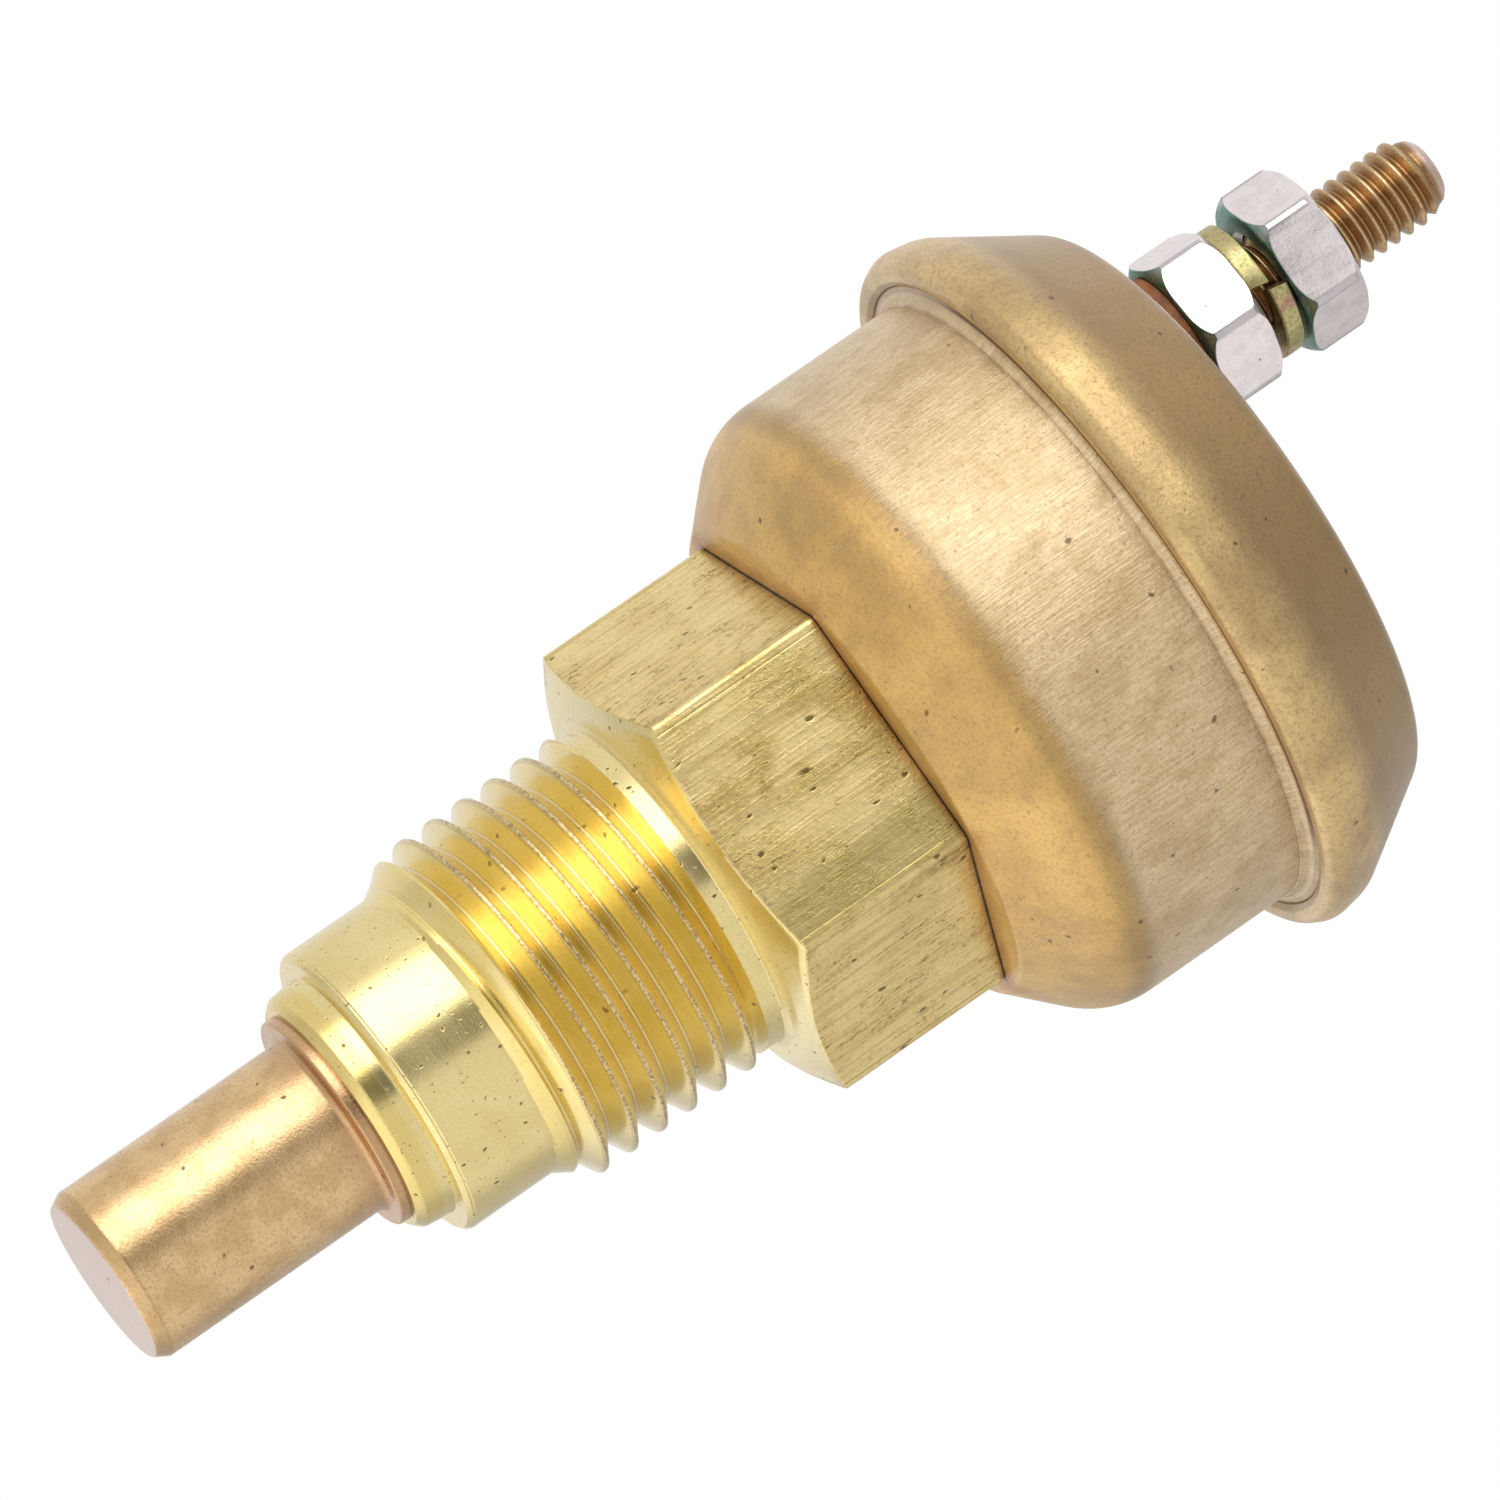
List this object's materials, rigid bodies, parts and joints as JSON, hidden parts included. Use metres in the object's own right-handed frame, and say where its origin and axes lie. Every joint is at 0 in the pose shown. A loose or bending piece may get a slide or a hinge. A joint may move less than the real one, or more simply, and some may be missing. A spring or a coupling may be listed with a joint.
{
  "type": "pressure switch",
  "caption": "Screw-in switch with a closed sensing bulb, a threaded hexagon body, a bell-shaped case crimped to a domed cover, and an insulated off-centre terminal stud.",
  "frame": {"origin": "where the switch's axis meets the seat plane, the narrow flat ring under the hexagon that closes on the port", "axes": "+Z along the axis, from the sensing bulb towards the terminal; the off-centre terminal stands at -X"},
  "size_m": [0.0334, 0.0334, 0.073],
  "materials": {
    "copper": "satin drawn copper alloy",
    "bar_brass": "turned and extruded bar brass",
    "sheet_bronze": "satin brushed sheet",
    "bellows_bronze": "thin hydroformed sheet",
    "spring_brass": "rolled strip",
    "spring_steel": "drawn wire and ground rod",
    "contact_silver": "silver alloy",
    "stud_brass": "rolled thread, darkened",
    "nickel_plate": "bright nickel plate",
    "yellow_zinc": "yellow passivated zinc on spring steel",
    "phenolic": "moulded brown phenolic",
    "fibre": "vulcanised fibre",
    "black_rubber": "matt"
  },
  "bodies": {
    "housing": {"sensing_bulb": "copper", "hex_body": "bar_brass", "bell_case": "sheet_bronze", "top_cover": "sheet_bronze", "crimp_gasket": "black_rubber", "earth_ring": "spring_brass", "base_plate": "phenolic", "bellows_ring": "bar_brass", "bellows": "bellows_bronze", "range_spring": "spring_steel", "guide_bush": "bar_brass", "pivot_bracket": "spring_brass", "bracket_rivets": "bar_brass", "pivot_pin": "spring_steel", "arm_return_spring": "spring_steel", "fixed_contact": "contact_silver", "terminal_stud": "stud_brass", "inner_insulator": "fibre", "insulator_bush": "phenolic", "seal_ring": "black_rubber", "insulating_washer": "phenolic", "lower_nut": "nickel_plate"},
    "push_rod": {"bellows_cap": "bar_brass", "push_pin": "spring_steel"},
    "contact_lever": {"contact_arm": "spring_brass", "moving_contact": "contact_silver"},
    "spring_washer": {"lock_washer": "yellow_zinc"},
    "upper_nut": {"terminal_nut": "nickel_plate"}
  },
  "joints": [
    {"name": "push_rod_slide", "type": "slide", "parent": "housing", "child": "push_rod", "axis": [0, 0, 1], "range_m": [0, 0.0005], "stiffness_N_per_m": 4000, "deforming": ["bellows", "range_spring"]},
    {"name": "contact_arm_hinge", "type": "hinge", "parent": "housing", "child": "contact_lever", "pos_m": [0.0075, 0, 0.02455], "axis": [0, 1, 0], "range_deg": [0, 3.83]},
    {"name": "spring_washer_lift", "type": "slide", "parent": "housing", "child": "spring_washer", "axis": [0, 0, 1], "range_m": [0, 0.0056]},
    {"name": "terminal_nut_turn", "type": "hinge", "parent": "spring_washer", "child": "upper_nut", "pos_m": [-0.00685, 0, 0.03535], "axis": [0, 0, 1], "range_deg": [0, 2881]}
  ],
  "couplings": [
    {"joint": "contact_arm_hinge", "follows": "push_rod_slide", "rad_per_m": 133.33},
    {"joint": "terminal_nut_turn", "follows": "spring_washer_lift", "rad_per_m": 8976}
  ]
}
